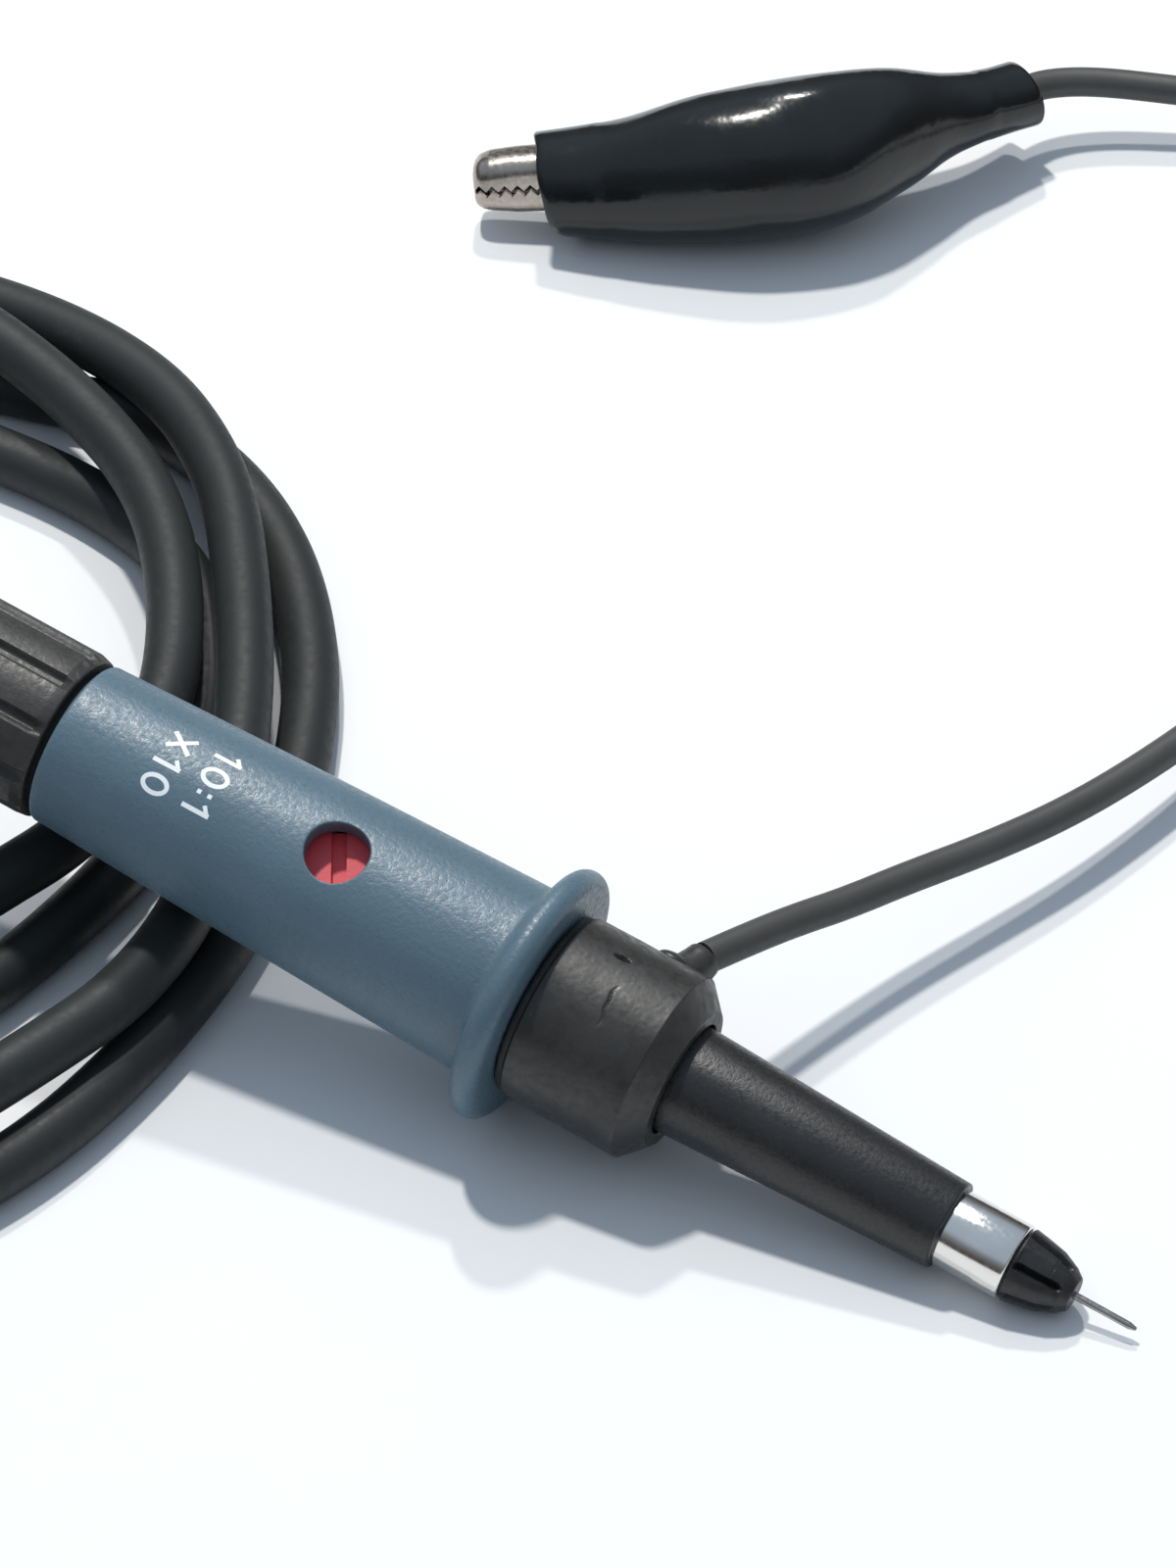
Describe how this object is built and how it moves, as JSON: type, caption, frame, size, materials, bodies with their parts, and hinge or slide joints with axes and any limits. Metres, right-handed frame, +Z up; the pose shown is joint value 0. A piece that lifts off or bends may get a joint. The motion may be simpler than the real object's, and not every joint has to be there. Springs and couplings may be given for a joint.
{
  "type": "oscilloscope probe",
  "caption": "Slim 10:1 oscilloscope probe with finger guard, trimmer window, needle tip, swivelling ground lead with booted alligator clip, and a coiled coaxial cable to a BNC plug.",
  "frame": {"origin": "bench plane under the middle of the probe head (cable, lead, clip and plug left out)", "axes": "+X along the head, towards the needle, +Y to the side that the ground lead leaves on, +Z up; the head is pitched nose down by 10.3 degrees because its rear lies on the coiled cable"},
  "size_m": [0.1788, 0.1708, 0.0232],
  "materials": {
    "barrel_blue": "fine satin grain",
    "black_plastic": "satin",
    "black_rubber": "soft satin",
    "cable_black": "matte jacket",
    "boot_pvc": "glossy soft vinyl",
    "nickel": "bright nickel plate",
    "clip_steel": "plated pressed steel",
    "spring_steel": "bright wire",
    "contact_gold": "gold plated",
    "needle_steel": "polished",
    "rotor_red": "satin",
    "ceramic_white": "matt",
    "board_green": "solder mask",
    "dielectric_white": "waxy",
    "copper": "bare"
  },
  "bodies": {
    "probe": {"barrel": "barrel_blue", "tail_grip": "black_plastic", "cable_boot": "black_rubber", "coax_end": "cable_black", "crimp_ferrule": "nickel", "coax_core": "copper", "inner_shield": "nickel", "circuit_board": "board_green", "trimmer_body": "ceramic_white", "reference_ring": "nickel", "nose_sleeve": "black_plastic", "ground_sleeve": "nickel", "tip_insulator": "black_plastic", "tip_needle": "needle_steel", "tip_socket": "contact_gold", "input_resistor": "ceramic_white", "nose_dielectric": "dielectric_white", "contact_spring": "contact_gold", "coax_lead_in": "cable_black", "coax_coil": "cable_black", "coax_lead_out": "cable_black", "bnc_boot": "black_rubber", "bnc_coax_end": "cable_black", "bnc_ferrule": "nickel", "bnc_shell": "nickel", "bnc_insulator": "dielectric_white", "bnc_centre_pin": "contact_gold", "bnc_spring_washer": "spring_steel", "bnc_gasket": "black_rubber"},
    "trimmer": {"trimmer_rotor": "rotor_red"},
    "ground_set": {"ground_collar": "black_rubber", "collar_contact": "contact_gold", "lead_spout": "black_rubber", "ground_lead": "cable_black", "clip_lower_jaw": "clip_steel", "clip_pin": "clip_steel", "clip_spring": "spring_steel", "clip_boot": "boot_pvc", "lead_crimp": "clip_steel"},
    "upper_jaw": {"clip_upper_jaw": "clip_steel"},
    "bnc_nut": {"bnc_coupling_nut": "nickel"}
  },
  "joints": [
    {"name": "trimmer_adjust", "type": "hinge", "parent": "probe", "child": "trimmer", "pos_m": [-0.00342, 0, 0.01105], "axis": [0.1673, -0.342, 0.9247], "continuous": true},
    {"name": "collar_swivel", "type": "hinge", "parent": "probe", "child": "ground_set", "pos_m": [0.01587, 0, 0.00756], "axis": [0.984, 0, -0.178], "continuous": true},
    {"name": "clip_open", "type": "hinge", "parent": "ground_set", "child": "upper_jaw", "pos_m": [-0.02295, 0.07983, 0.00477], "axis": [-0.421, 0.8697, -0.2576], "range_deg": [0, 25], "stiffness_Nm_per_rad": 0.05, "springref_deg": -28.65, "deforming": ["clip_boot", "clip_spring"]},
    {"name": "nut_turn", "type": "hinge", "parent": "probe", "child": "bnc_nut", "pos_m": [-0.1194, 0.057, 0.0073], "axis": [0, 1, 0], "continuous": true}
  ]
}
